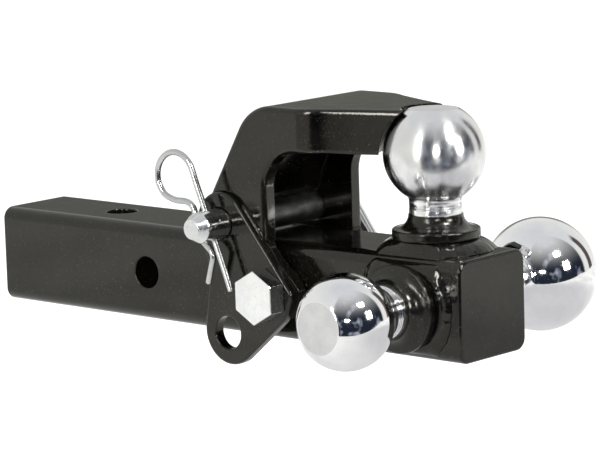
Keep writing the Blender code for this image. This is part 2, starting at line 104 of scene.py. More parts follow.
PLATE_EDGE = 1.5
PLATE_TRIM = {"near": 0.0, "far": 3.2}   # how much further forward the rear edge is cut
PLATE_BEAD_LEG = 1.65
PLATE_BEAD_END_X = 203.2
CHAIN_HOLE = (180.6, -21.5)
CHAIN_HOLE_RADIUS = 8.5

BOLT_RADIUS = 7.94
THREAD_RADIUS, THREAD_PITCH, THREAD_DEPTH = 7.75, 2.31, 1.1
HEX_FLAT = 11.9                # half across flats
HEX_CROWN = 13.0
BOLT_HEAD_HEIGHT = 9.9
BOLT_PROUD = 3.2               # how far the bolt stands out of its nut
NUT_HEIGHT, NUT_BORE = 14.0, 8.15
WASHER_THICKNESS, WASHER_WIRE = 3.7, 3.1
WASHER_INNER, WASHER_OUTER = 8.45, 12.9
SPACER_EDGE = 0.4

PIN_RADIUS = 7.94
PIN_NOSE_LENGTH = 5.3
PIN_BEND_START = 44.5
PIN_BEND_RADIUS = 12.0
PIN_GRIP_LENGTH = 34.0
PIN_GRIP_SLOPE = radians(80)   # how far the grip points below +X, seen from the side
PIN_GRIP_LEAN = radians(28)    # how far it leans away from the side plate
CLIP_HOLE_RADIUS = 2.1
CLIP_SLOPE = radians(-68)      # direction of the clip's straight leg, from its loop to its tip
CLIP_LOOP_U, CLIP_LOOP_RADIUS = -30.0, 12.6
CLIP_PLAY = 0.45               # between the curved leg and the pin


# ---- where things are, in millimetres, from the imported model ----
_, BAR_HIGH = box_mm("shank_bar")
BAR_HALF, BAR_LENGTH = BAR_HIGH.z, BAR_HIGH.x
BAR_CORNER = BAR_HALF / 4
JOINTS = {joint["name"]: joint for joint in frame["joints"]}
BOLT_X, _, BOLT_Z = [value / MM for value in JOINTS["hook_swing"]["pos_m"]]
PIN_LOW, PIN_HIGH = box_mm("lock_pin")
PIN_X, PIN_Z = PIN_LOW.x + PIN_RADIUS, PIN_HIGH.z - PIN_RADIUS
PIN_NEAR_END = PIN_LOW.y
_, HOOK_HIGH = box_mm("pintle_hook")
CHEEK_OUTER, CHEEK_INNER = HOOK_HIGH.y, HOOK_HIGH.y - CHEEK_THICKNESS
ARM_TOP, ARM_BOTTOM = HOOK_HIGH.z, HOOK_HIGH.z - ARM_DEPTH
PLATE_LOW, PLATE_HIGH = box_mm("near_side_plate")
PLATE_OUTER, PLATE_THICKNESS = -PLATE_LOW.y, PLATE_HIGH.y - PLATE_LOW.y
CLIP_LOW, CLIP_HIGH = box_mm("spring_clip")
CLIP_Y, CLIP_WIRE_RADIUS = (CLIP_LOW.y + CLIP_HIGH.y) / 2, (CLIP_HIGH.y - CLIP_LOW.y) / 2
for name, size in BALLS.items():
    low, high = box_mm(name + "_ball")
    size["radius"] = (high.x - low.x) / 2
    size["x"] = (high.x + low.x) / 2
    crown = max(abs(low.dot(Vector(size["axis"]))), abs(high.dot(Vector(size["axis"]))))
    size["reach"] = crown - sqrt(size["radius"] ** 2 - size["flat"] ** 2)


# ---- shape helpers, in millimetres ----
def finish_mesh(name, bm, material_names, body, nodes=(), angle=35, weighted=True):
    """Turns a bmesh in millimetres into a piece that rides on a body and stands for CAD nodes."""
    bmesh.ops.scale(bm, vec=(MM, MM, MM), verts=bm.verts)
    bmesh.ops.recalc_face_normals(bm, faces=bm.faces)
    mesh = bpy.data.meshes.new(name)
    bm.to_mesh(mesh)
    bm.free()
    piece = bpy.data.objects.new(name, mesh)
    bpy.context.scene.collection.objects.link(piece)
    for material_name in material_names:
        mesh.materials.append(bpy.data.materials[material_name])
    if body:
        shade(piece, angle, weighted)
        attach(piece, body)
        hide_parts(*nodes)
    return piece


def shade(piece, angle, weighted):
    piece.data.shade_smooth()
    piece.data.set_sharp_from_angle(angle=radians(angle))
    if weighted:
        step = piece.modifiers.new("weighted", "WEIGHTED_NORMAL")
        step.keep_sharp = True
        step.weight = 80


def cut(piece, cutters, operation="DIFFERENCE"):
    """Applies exact booleans and removes the cutters."""
    for cutter in cutters:
        step = piece.modifiers.new("cut", "BOOLEAN")
        step.operation = operation
        step.solver = "EXACT"
        step.object = cutter
    bpy.context.view_layer.update()
    graph = bpy.context.evaluated_depsgraph_get()
    mesh = bpy.data.meshes.new_from_object(piece.evaluated_get(graph))
    piece.modifiers.clear()
    piece.data = mesh
    for cutter in cutters:
        bpy.data.objects.remove(cutter, do_unlink=True)


def tool(bm, material_name="gloss_black"):
    return finish_mesh("tool", bm, [material_name], None)


def loft(rings, closed=False):
    bm = bmesh.new()
    made = [[bm.verts.new(point) for point in ring] for ring in rings]
    count = len(rings[0])
    pairs = list(zip(made, made[1:]))
    if closed:
        pairs.append((made[-1], made[0]))
    for low, high in pairs:
        for i in range(count):
            j = (i + 1) % count
            bm.faces.new((low[i], low[j], high[j], high[i]))
    if not closed:
        bm.faces.new(made[0])
        bm.faces.new(made[-1])
    return bm


def belt(circles, grow=0.0, fine=3):
    """Outline round circles (x, z, radius, steps) joined by tangents; negative radii are passed inside."""
    headings = []
    for (x0, z0, r0, _), (x1, z1, r1, _) in zip(circles, circles[1:] + circles[:1]):
        run = hypot(x1 - x0, z1 - z0)
        headings.append(atan2(z1 - z0, x1 - x0) + asin((r0 - r1) / run))
    outline = []
    for i, (x, z, r, steps) in enumerate(circles):
        start, turn = headings[i - 1], headings[i] - headings[i - 1]
        turn = (turn + pi) % (2 * pi) - pi
        if r > 0 and turn < 0:
            turn += 2 * pi
        for k in range(steps * fine + 1):
            angle = start + turn * k / (steps * fine)
            outline.append((x + (r + grow) * sin(angle), z - (r + grow) * cos(angle)))
    return outline


def rounded_prism(outline_of, low, high, edge, place, steps=6):
    levels = [(low + edge * (1 - cos(pi / 2 * k / steps)), -edge * (1 - sin(pi / 2 * k / steps)))
              for k in range(steps + 1)]
    levels += [(low + high - level, grow) for level, grow in reversed(levels)]
    return loft([[place(a, b, level) for a, b in outline_of(grow)] for level, grow in levels])


def side_view(x, z, y):
    return (x, y, z)


def cross_view(y, z, x):
    return (x, y, z)


def turned(profile, sides, place, split=None, crown=None):
    """Revolves (radius, height) points.

    Faces below split take the second material, and those above crown the third.
    """
    bm = bmesh.new()
    angles = [2 * pi * k / sides for k in range(sides)]
    rows = []
    for radius, height in profile:
        if radius == 0:
            rows.append([bm.verts.new((0, 0, height))])
            continue
        rows.append([bm.verts.new((radius * cos(a), radius * sin(a), height)) for a in angles])
    pairs = list(zip(range(len(rows)), range(1, len(rows))))
    if len(rows[0]) > 1:
        pairs.append((len(rows) - 1, 0))
    for a, b in pairs:
        low, high = rows[a], rows[b]
        heights = (profile[a][1], profile[b][1])
        index = 1 if split is not None and max(heights) <= split + TINY else 0
        index = 2 if crown is not None and min(heights) >= crown - TINY else index
        for k in range(sides):
            j = (k + 1) % sides
            face = [low[k], low[j]] if len(low) > 1 else [low[0]]
            face += [high[j], high[k]] if len(high) > 1 else [high[0]]
            bm.faces.new(face).material_index = index
    bmesh.ops.transform(bm, matrix=place, verts=bm.verts)
    return bm


def standing(axis, x=0.0, y=0.0, z=0.0):
    """Puts a turned shape's foot at a point, with its height along axis."""
    turn = Vector((0, 0, 1)).rotation_difference(Vector(axis)).to_matrix().to_4x4()
    return Matrix.Translation((x, y, z)) @ turn


def tube(points, radii, sides):
    path = [Vector(point) for point in points]
    angles = [2 * pi * k / sides for k in range(sides)]
    across = (path[1] - path[0]).orthogonal().normalized()
    rings = []
    for i, point in enumerate(path):
        ahead = (path[min(i + 1, len(path) - 1)] - path[max(i - 1, 0)]).normalized()
        across = (across - ahead * across.dot(ahead)).normalized()
        upright = ahead.cross(across)
        rings.append([point + radii[i] * (across * cos(a) + upright * sin(a)) for a in angles])
    return loft(rings)


def arc(x, y, radius, start, end, steps):
    return [(x + radius * cos(start + (end - start) * k / steps),
             y + radius * sin(start + (end - start) * k / steps)) for k in range(steps + 1)]


def smooth_path(points, step):
    """Catmull-Rom curve through the points, in pieces no longer than about step."""
    padded = [points[0]] + points + [points[-1]]
    path = []
    for p0, p1, p2, p3 in zip(padded, padded[1:], padded[2:], padded[3:]):
        count = max(1, ceil(hypot(p2[0] - p1[0], p2[1] - p1[1]) / step))
        for k in range(count):
            t = k / count
            path.append(tuple(
                0.5 * (2 * b + (c - a) * t + (2 * a - 5 * b + 4 * c - d) * t * t
                       + (3 * b - a - 3 * c + d) * t ** 3)
                for a, b, c, d in zip(p0, p1, p2, p3)))
    path.append(points[-1])
    return path


def hole(radius, faces, rim, place):
    """Cutter for a hole whose rims at the two face heights are rounded over by rim."""
    low, high = faces
    start, stop = low - HOLE_OVERSHOOT, high + HOLE_OVERSHOOT
    lower = [(radius + rim * (1 - sin(pi / 2 * k / 4)), low + rim * (1 - cos(pi / 2 * k / 4)))
             for k in range(5)]
    profile = [(0, start), (radius + rim, start)] + lower
    profile += [(r, low + high - h) for r, h in reversed(lower)]
    profile += [(radius + rim, stop), (0, stop)]
    return tool(turned(profile, 96, place))


# ---- materials ----
class Graph:
    """Short-hand for building a node tree."""

    def __init__(self, name, tree=None):
        if tree is None:
            self.material = bpy.data.materials.new(name)
            self.material.use_nodes = True
            tree = self.material.node_tree
            self.shader = tree.nodes["Principled BSDF"]
        self.tree = tree
        self.where = self.tree.nodes.new("ShaderNodeTexCoord").outputs["Object"]

    def node(self, kind, inputs=None, **settings):
        made = self.tree.nodes.new(kind)
        for key, value in settings.items():
            setattr(made, key, value)
        for key, value in (inputs or {}).items():
            if isinstance(value, bpy.types.NodeSocket):
                self.tree.links.new(value, made.inputs[key])
            else:
                made.inputs[key].default_value = value
        return made

    def noise(self, scale, detail=2.0, rough=0.5, stretch=None):
        where = self.where
        if stretch:
            where = self.node("ShaderNodeMapping", {"Vector": where, "Scale": stretch}).outputs["Vector"]
        return self.node("ShaderNodeTexNoise", {"Vector": where, "Scale": scale, "Detail": detail,
                                                "Roughness": rough}).outputs["Fac"]

    def ramp(self, value, low, high, to_low=0.0, to_high=1.0, kind="LINEAR"):
        return self.node("ShaderNodeMapRange", {"Value": value, "From Min": low, "From Max": high,
                                                "To Min": to_low, "To Max": to_high},
                         interpolation_type=kind).outputs["Result"]

    def math(self, kind, a, b=0.0):
        return self.node("ShaderNodeMath", {0: a, 1: b}, operation=kind).outputs[0]

    def mix(self, share, a, b):
        made = self.tree.nodes.new("ShaderNodeMix")
        made.data_type = "RGBA"
        for key, value in ((0, share), (6, a), (7, b)):
            if isinstance(value, bpy.types.NodeSocket):
                self.tree.links.new(value, made.inputs[key])
            else:
                made.inputs[key].default_value = value
        return made.outputs[2]

    def bump(self, height, distance, strength=1.0, normal=None):
        inputs = {"Height": height, "Distance": distance, "Strength": strength}
        if normal is not None:
            inputs["Normal"] = normal
        return self.node("ShaderNodeBump", inputs).outputs["Normal"]

    def put(self, **inputs):
        for key, value in inputs.items():
            socket = self.shader.inputs[key.replace("_", " ")]
            if isinstance(value, bpy.types.NodeSocket):
                self.tree.links.new(value, socket)
            else:
                socket.default_value = value


def make_paint(name, ripple=0.0, gloss=0.07):
    """Black powder coat: faint orange peel, a film of dust, and fine specks. Ripple waves a weld."""
    black, film = (0.0012, 0.0011, 0.0009, 1), (0.0080, 0.0072, 0.0050, 1)
    smudge = (0.0080, 0.0074, 0.0055, 1)
    grit, scratch = (0.24, 0.22, 0.18, 1), (0.18, 0.17, 0.14, 1)
    g = Graph(name)
    dust = g.ramp(g.noise(30.0, 5.0, 0.62), 0.42, 0.78)
    streaks = g.ramp(g.noise(70.0, 4.0, 0.7, (0.25, 1.0, 1.6)), 0.50, 0.75)
    specks = g.ramp(g.noise(1400.0, 1.0), 0.70, 0.77)
    scuffs = g.ramp(g.noise(420.0, 3.0, 0.65), 0.64, 0.74)
    colour = g.mix(g.math("MULTIPLY", dust, 0.7), black, film)
    colour = g.mix(g.math("MULTIPLY", streaks, 0.4), colour, smudge)
    colour = g.mix(g.math("MULTIPLY", specks, 0.22), colour, grit)
    colour = g.mix(g.math("MULTIPLY", scuffs, 0.10), colour, scratch)
    sheen = g.ramp(g.noise(90.0, 3.0), 0.3, 0.7, gloss, gloss + 0.07)
    rough = g.math("ADD", sheen, g.math("MULTIPLY", specks, 0.2))
    normal = g.node("ShaderNodeBevel", {"Radius": 0.0006}, samples=4).outputs["Normal"]
    if ripple:
        normal = g.bump(g.noise(220.0, 1.0), 0.0004 * ripple, 0.6, normal)
    normal = g.bump(g.noise(700.0, 1.0), 0.00005, 0.5, normal)
    normal = g.bump(g.noise(95.0, 1.0), 0.00025, 0.30, normal)
    g.put(Base_Color=colour, Roughness=rough, Normal=normal, Metallic=0.0, IOR=1.48, Specular_IOR_Level=0.5,
          Specular_Tint=(1.0, 0.985, 0.90, 1))
    return g.material


def make_chrome(name, shine=0.04, grain=0.15, turned_about=None, tone=0.90):
    """Polished chrome, slightly cloudy. Turning marks about an axis smear its highlights across them."""
    g = Graph(name)
    cloud = g.noise(60.0, 4.0, 0.6)
    smear = g.noise(240.0, 3.0, 0.6)
    colour = g.mix(g.ramp(cloud, 0.35, 0.75), (tone, tone, tone, 1),
                   (tone - 0.12, tone - 0.12, tone - 0.10, 1))
    rough = g.ramp(smear, 0.3, 0.75, shine, shine * 1.6 + 0.02)
    normal = g.bump(g.noise(170.0, 2.0), 0.00010, 0.10)
    normal = g.bump(g.noise(1100.0, 2.0), 0.00003, grain, normal)
    g.put(Base_Color=colour, Metallic=1.0, Roughness=rough, Normal=normal)
    if turned_about:
        g.put(Anisotropic=0.75, Anisotropic_Rotation=0.25)
        tangent = g.node("ShaderNodeTangent", direction_type="RADIAL", axis=turned_about)
        g.put(Tangent=tangent.outputs["Tangent"])
    return g.material


def make_zinc(name, blue, grain, gloss, tone, shaded_shank=False):
    """Clear zinc plate: bright, a little blue, with soft grain and small darker, rougher marks.

    When asked for, its shank between the hook's cheeks gets painted shade: a mottled darker grey, and it is
    rougher there, behind its bright end.
    """
    g = Graph(name)
    patches = g.ramp(g.noise(130.0, 4.0, 0.65), 0.35, 0.7)
    marks = g.ramp(g.noise(700.0, 3.0, 0.7), 0.60, 0.72)
    cool = (tone - 0.06 * blue, tone, tone + 0.05 * blue, 1)
    colour = g.mix(patches, (tone + 0.08, tone + 0.08, tone + 0.06, 1), cool)
    colour = g.mix(g.math("MULTIPLY", marks, 0.4), colour, (tone * 0.4, tone * 0.42, tone * 0.42, 1))
    rough = g.math("ADD", g.ramp(patches, 0.0, 1.0, gloss, gloss + 0.10), g.math("MULTIPLY", marks, 0.12))
    if shaded_shank:
        # painted shade: the shank between the hook's cheeks is darkened to a mottled grey, standing in for
        # the shade of the hook's throat
        depth = g.node("ShaderNodeSeparateXYZ", {"Vector": g.where}).outputs["Y"]
        inside = g.ramp(depth, -0.040, -0.030)
        inside = g.math("MULTIPLY", inside, g.ramp(depth, 0.030, 0.040, 1.0, 0.0))
        shade_mottle = g.ramp(g.noise(150.0, 4.0, 0.7), 0.35, 0.7)
        colour = g.mix(inside, colour, g.mix(shade_mottle, (0.30, 0.30, 0.28, 1), (0.14, 0.14, 0.13, 1)))
        rough = g.math("ADD", rough, g.math("MULTIPLY", inside, 0.22))
    normal = g.node("ShaderNodeBevel", {"Radius": 0.0004}, samples=4).outputs["Normal"]
    normal = g.bump(g.noise(900.0, 3.0, 0.6), 0.00005, grain, normal)
    normal = g.bump(g.noise(260.0, 1.0), 0.00012, 0.22, normal)
    g.put(Base_Color=colour, Metallic=1.0, Roughness=rough, Normal=normal)
    return g.material


make_paint("gloss_black")
make_paint("satin_black", gloss=0.16)
make_paint("bead_paint", gloss=0.06, ripple=1.0)
make_chrome("bright_chrome")
make_chrome("chrome_satin", shine=0.16, grain=0.55, turned_about="Z", tone=0.80)
make_chrome("chrome_neck_z", shine=0.16, grain=0.4, turned_about="Z")
make_chrome("chrome_neck_y", shine=0.12, grain=0.4, turned_about="Y")
make_chrome("chrome_crown", shine=0.42, grain=2.5, tone=0.66)
make_zinc("clear_zinc", blue=0.3, grain=0.4, gloss=0.16, tone=0.80)
# the pin's shank gets painted shade between the cheeks
make_zinc("zinc_pin", blue=0.2, grain=0.3, gloss=0.13, tone=0.66, shaded_shank=True)
make_zinc("zinc_wire", blue=0.3, grain=0.2, gloss=0.12, tone=0.50)


# ---- pieces ----
SIDES = (("near", -1), ("far", 1))


def make_bar():
    inset = BAR_HALF - BAR_CORNER
    circles = [(y, z, BAR_CORNER, 6) for y, z in
               [(inset, -inset), (inset, inset), (-inset, inset), (-inset, -inset)]]
    solid = rounded_prism(lambda grow: belt(circles, grow), 0, BAR_LENGTH, BAR_END_EDGE, cross_view)
    bar = finish_mesh("bar", solid, ["gloss_black"], None)
    faces = (-BAR_HALF, BAR_HALF)
    cut(bar, [hole(HOLE_RADIUS, faces, HOLE_EDGE, standing((0, 1, 0), RECEIVER_HOLE_Y_X)),
              hole(HOLE_RADIUS, faces, HOLE_EDGE, standing((0, 0, 1), RECEIVER_HOLE_Z_X)),
              hole(HOLE_RADIUS, faces, BORE_EDGE, standing((0, 1, 0), BOLT_X, 0, BOLT_Z))])
    dress(bar, "ball_mount", "shank_bar")


def dress(piece, body, node, angle=35):
    """Makes a cut piece ride on a body and stand for a CAD node."""
    shade(piece, angle, True)
    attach(piece, body)
    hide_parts(node)


def make_ball(name, size):
    """A chromed ball with a plain crown flat, on a neck with turned grooves."""
    radius, reach, neck, flat = size["radius"], size["reach"], size["neck"], size["flat"]
    join = asin(neck / radius)
    crown = asin(flat / radius)
    collar = size["waist"] + NECK_COLLAR
    foot = size["waist"] - 1.0
    shoulder = reach - radius * cos(join)
    start = pi - join * 1.06
    blend_low = (neck - 0.05, shoulder - 1.6)
    first = (radius * sin(start), reach + radius * cos(start))
    profile = [(0, foot), (neck - 0.6, foot), (neck + 0.1, size["waist"] + GAP), (neck, collar)]
    for share in size["grooves"]:
        level = collar + (shoulder - size["waist"] - 3.1) * share
        profile += [(neck, level), (neck - GROOVE_DEPTH, level + 0.25), (neck - GROOVE_DEPTH, level + 0.6),
                    (neck - 0.03, level + 0.85)]
    profile.append(blend_low)
    profile += [(blend_low[0] * (1 - t) ** 2 + 2 * (neck + 0.02) * t * (1 - t) + first[0] * t ** 2,
                 blend_low[1] * (1 - t) ** 2 + 2 * (first[1] - 0.9) * t * (1 - t) + first[1] * t ** 2)
                for t in (0.25, 0.5, 0.75)]
    rings = 56
    for k in range(rings + 1):
        angle = start + (crown + 0.02 - start) * k / rings
        profile.append((radius * sin(angle), reach + radius * cos(angle)))
    top = reach + radius * cos(crown)
    profile += [(flat - 0.15, top - 0.02), (flat - 0.4, top), (0, top)]
    bm = turned(profile, 160, standing(size["axis"], size["x"]), split=shoulder - 1.0, crown=top - 0.1)
    coats = ["chrome_satin", "chrome_neck_z"] if name == "top" else ["bright_chrome", "chrome_neck_y"]
    coats.append("chrome_crown")
    finish_mesh(name + "_ball_chrome", bm, coats, "ball_mount", [name + "_ball"],
                angle=50, weighted=False)


def make_flange(name, size):
    """The black seat under a neck: a foot inside the weld, a rounded rim and a hollow flare."""
    rim, waist, neck = size["rim"], size["waist"], size["neck"] + 0.4
    outer, foot, top = FLANGE_RADIUS, FLANGE_FOOT_RADIUS, rim + FLANGE_RIM_HEIGHT
    small, large = FLANGE_LOW_EDGE, FLANGE_TOP_EDGE
    low = BAR_HALF + GAP
    profile = [(neck - 3, low), (foot, low), (foot, rim - 0.1), (foot + 0.4, rim)]
    profile += [(outer - small + small * sin(pi / 2 * k / 4), rim + small - small * cos(pi / 2 * k / 4))
                for k in range(5)]
    profile += [(outer - large + large * cos(pi / 2 * k / 5), top - large + large * sin(pi / 2 * k / 5))
                for k in range(6)]
    wide, tall = outer - large - neck, waist - top
    for k in range(1, 22):
        angle = pi / 2 * k / 21
        profile.append((neck + wide * (1 - sin(angle)), top + tall * (1 - cos(angle))))
    profile += [(neck - 0.4, waist), (neck - 3, waist)]
    bm = turned(profile, 128, standing(size["axis"], size["x"]))
    finish_mesh(name + "_seat", bm, ["satin_black"], "ball_mount", [name + "_ball_flange"],
                angle=50, weighted=False)


def bar_surface(lateral):
    """Height of the bar's surface, with its rounded corner, at a distance from its middle line."""
    flat = BAR_HALF - BAR_CORNER
    beyond = max(0.0, abs(lateral) - flat)
    return flat + sqrt(BAR_CORNER ** 2 - beyond ** 2)


def make_bead(name, size):
    """The ring of weld round a seat's foot, cut short where the bar's corner ends."""
    inner = FLANGE_FOOT_RADIUS + 0.1
    crest = size["rim"] - 0.1
    steps = 220
    rings = []
    for k in range(steps):
        angle = 2 * pi * k / steps
        side = sin(angle)
        wave = sum(tall * sin(count * angle + phase) for tall, count, phase in WELD_WAVES)
        limit = WELD_SIDE_REACH / max(abs(side), TINY)
        toe = min(WELD_TOE_RADIUS + wave, limit - 0.1)
        radii = [inner + (toe - inner) * (j / 5) for j in range(6)]
        section = [(r, bar_surface(r * side) + 0.12) for r in radii]
        lip = section[-1][1]
        steepness = (toe - inner) / 9.0
        for j in range(1, 12):
            s = 1 - j / 11
            droop = sin(pi * s) * (0.55 + 0.5 * steepness)
            section.append((inner + (toe - inner) * s, lip + (crest - lip) * (1 - s) + droop))
        rings.append([(r * cos(angle), r * side, h) for r, h in section])
    bm = loft(rings, closed=True)
    bmesh.ops.transform(bm, matrix=standing(size["axis"], size["x"]), verts=bm.verts)
    finish_mesh(name + "_bead", bm, ["bead_paint"], "ball_mount", [name + "_ball_weld"],
                angle=60, weighted=False)


def plate_circles(side):
    """The side plate's outline as circles for belt: chain lobe, rear corners, pin lobe and hollow front."""
    trim = PLATE_TRIM[side]
    return [(181.8, -21.0, 17.0, 9), (206.6 - trim, -1.4, 16.0, 6), (219.5 - trim, 1.0, 4.7, 4),
            (PIN_X, PIN_Z, 16.0 - 0.6 * trim, 8), (128.5, 6.5, -40.0, 7)]


def arm_half_width(x):
    """Half the arm's width: the cheeks' width, then a step in, then a taper to the nose."""
    shoulder, root = CHEEK_OUTER - 0.06, ARM_ROOT_WIDTH
    if x <= ARM_STEP_X:
        return shoulder
    if x <= ARM_ROOT_X:
        return shoulder - (shoulder - root) * ((x - ARM_STEP_X) / (ARM_ROOT_X - ARM_STEP_X)) ** 1.6
    share = (x - ARM_ROOT_X) / (NOSE_X - ARM_ROOT_X)
    return root + (ARM_NOSE_WIDTH - root) * (1.16 * share - 0.16 * share ** 2)


def arm_outline(grow):
    stations = [213.0] + [ARM_STEP_X + k for k in range(13)]
    stations += [ARM_ROOT_X + 4 * k for k in range(1, 13)] + [NOSE_X]
    near = [(x, -arm_half_width(x) - grow) for x in stations]
    return near + [(x, -y) for x, y in reversed(near)]


def arm_view(x, y, z):
    """Plan view whose underside droops towards the nose."""
    depth = (ARM_TOP - z) / (ARM_TOP - ARM_BOTTOM)
    return (x, y, z - ARM_DROOP * depth * max(0.0, x - ARM_DROOP_X) / (NOSE_X - ARM_DROOP_X))


def make_hook():
    """Cheeks, back wall and arm in one, hollowed for the bar, with seats for the plates and a round nose."""
    cheek = [(BOLT_X + 0.3, BOLT_Z, 14.7, 8), (219.5, 1.6, 4.5, 4), (207.8, 24.8, -3.0, 3),
             (224.8, ARM_BOTTOM - THROAT_RADIUS, -THROAT_RADIUS, 8), (227.0, ARM_BOTTOM + 3.4, 3.4, 4),
             (227.0, ARM_TOP - 3.4, 3.4, 4), (209.8, ARM_TOP - 25.0, 25.0, 7), (PIN_X, PIN_Z, 15.6, 8)]
    slope = atan2(BACK_HIGH[1] - BACK_LOW[1], BACK_HIGH[0] - BACK_LOW[0])
    foot_x, foot_z = BACK_FOOT[0] + BACK_WALL * sin(slope), BACK_FOOT[1]
    channel = [(150.0, -60.0, 2.0, 2), (310.0, -60.0, 2.0, 2), (310.0, ARM_BOTTOM - 2.0, 2.0, 2),
               (201.0, ARM_BOTTOM - 9.0, 9.0, 5), (foot_x + 2.0, foot_z, -2.0, 3), (150.0, foot_z, 2.0, 2)]
    wide = CHEEK_OUTER
    cheeks = rounded_prism(lambda grow: belt(cheek, grow, 4), -wide, wide, HOOK_EDGE, side_view)
    hook = finish_mesh("hook", cheeks, ["gloss_black"], None)
    arm = tool(rounded_prism(arm_outline, ARM_BOTTOM, ARM_TOP, HOOK_EDGE, arm_view))
    cut(hook, [arm], "UNION")
    hollow = rounded_prism(lambda grow: belt(channel, grow), -CHEEK_INNER, CHEEK_INNER, 1.8, side_view, 4)
    cutters = [tool(hollow)]
    ball = BALLS["top"]
    nose = ball["radius"] + NOSE_CLEARANCE
    sphere = [(nose * sin(pi * k / 48), -nose * cos(pi * k / 48)) for k in range(1, 48)]
    sphere = [(0, -nose)] + sphere + [(0, nose)]
    cutters.append(tool(turned(sphere, 128, standing((0, 0, 1), ball["x"], 0, ball["reach"]))))
    for side, sign in SIDES:
        outline = belt(plate_circles(side), GAP)
        floor = sign * (PLATE_OUTER - PLATE_THICKNESS - GAP)
        cutters.append(tool(loft([[side_view(a, b, level) for a, b in outline]
                                  for level in (floor, sign * (CHEEK_OUTER + 5))])))
    for x, z in ((BOLT_X, BOLT_Z), (PIN_X, PIN_Z)):
        cutters.append(hole(HOLE_RADIUS, (-60, 60), BORE_EDGE, standing((0, 1, 0), x, 0, z)))
    cut(hook, cutters)
    dress(hook, "hook", "pintle_hook", angle=30)


def make_plates():
    for side, sign in SIDES:
        low, high = sorted((sign * (PLATE_OUTER - PLATE_THICKNESS), sign * PLATE_OUTER))
        circles = plate_circles(side)
        solid = rounded_prism(lambda grow: belt(circles, grow, 4), low, high, PLATE_EDGE, side_view)
        plate = finish_mesh(side + "_plate", solid, ["gloss_black"], None)
        holes = [(*CHAIN_HOLE, CHAIN_HOLE_RADIUS, 0.9), (BOLT_X, BOLT_Z, HOLE_RADIUS, 0.5),
                 (PIN_X, PIN_Z, HOLE_RADIUS, 0.6)]
        cut(plate, [hole(r, (low, high), rim, standing((0, 1, 0), x, 0, z)) for x, z, r, rim in holes])
        dress(plate, "hook", side + "_side_plate", angle=30)
        make_plate_bead(side, sign)


def make_plate_bead(side, sign):
    """The short fillet along the slanted rear edge of a plate, thinner at both ends."""
    steps = 60
    x0, z0, r0, _ = plate_circles(side)[2]
    x1, z1, r1, _ = plate_circles(side)[3]
    run = hypot(x1 - x0, z1 - z0)
    heading = atan2(z1 - z0, x1 - x0) + asin((r0 - r1) / run)
    out_x, out_z = sin(heading), -cos(heading)
    start = Vector((x0 + (r0 + GAP) * out_x, 0, z0 + (r0 + GAP) * out_z))
    end = Vector((x1 + (r1 + GAP) * out_x, 0, z1 + (r1 + GAP) * out_z))
    first = end.lerp(start, 0.01)
    last = end.lerp(start, (end.x - PLATE_BEAD_END_X) / (end.x - start.x))
    out = Vector((first.z - last.z, 0, last.x - first.x)).normalized()
    surface = sign * (CHEEK_OUTER + 0.1)
    rings = []
    for k in range(steps + 1):
        t = k / steps
        leg = PLATE_BEAD_LEG * (0.45 + 0.55 * min(1.0, sin(pi * t) * 3)) * (1 + 0.035 * sin(44 * t))
        foot = first.lerp(last, t) + Vector((0, surface, 0))
        ring = [foot]
        for j in range(7):
            angle = pi / 2 * j / 6
            raised = Vector((0, sign * leg * sin(angle) * 0.98, 0))
            ring.append(foot + out * leg * cos(angle) * 0.98 + raised)
        rings.append(ring)
    finish_mesh(side + "_plate_bead", loft(rings), ["bead_paint"], "hook", [side + "_plate_weld"],
                angle=60, weighted=False)


def hexagon(angle):
    """Distance from a hexagon's middle to its side, at an angle."""
    return HEX_FLAT / cos((angle + pi / 6) % (pi / 3) - pi / 6)


def hex_block(height, bore=0.0):
    """A bolt head, or with a bore a nut, whose corners are eased off by a 30 degree chamfer."""
    sides = 144
    angles = [2 * pi * k / sides for k in range(sides)]
    full = [hexagon(a) for a in angles]
    eased = [min(r - 0.4, HEX_CROWN) for r in full]
    drops = [(r - small) * tan(pi / 6) for r, small in zip(full, eased)]
    rows = [[(r, 0) for r in full]]
    if bore:
        rows = [[(small, 0) for small in eased], list(zip(full, drops))]
    rows.append([(r, height - d) for r, d in zip(full, drops)])
    rows.append([(small, height) for small in eased])
    if bore:
        rows += [[(bore + 0.8, height)] * sides, [(bore, height - 0.8)] * sides, [(bore, 0.8)] * sides,
                 [(bore + 0.8, 0)] * sides]
    points = [[(r * cos(a), r * sin(a), h) for a, (r, h) in zip(angles, row)] for row in rows]
    return loft(points, closed=bool(bore))


def thread(low, high):
    """Profile of a threaded length as evenly spaced ridges."""
    root, ridge = THREAD_RADIUS - THREAD_DEPTH, THREAD_RADIUS - 0.1
    profile = []
    count = int((high - low) / THREAD_PITCH)
    for k in range(count):
        base = low + k * THREAD_PITCH
        profile += [(root, base), (ridge, base + THREAD_PITCH * 0.42), (ridge, base + THREAD_PITCH * 0.55)]
    profile.append((root, low + count * THREAD_PITCH))
    return profile


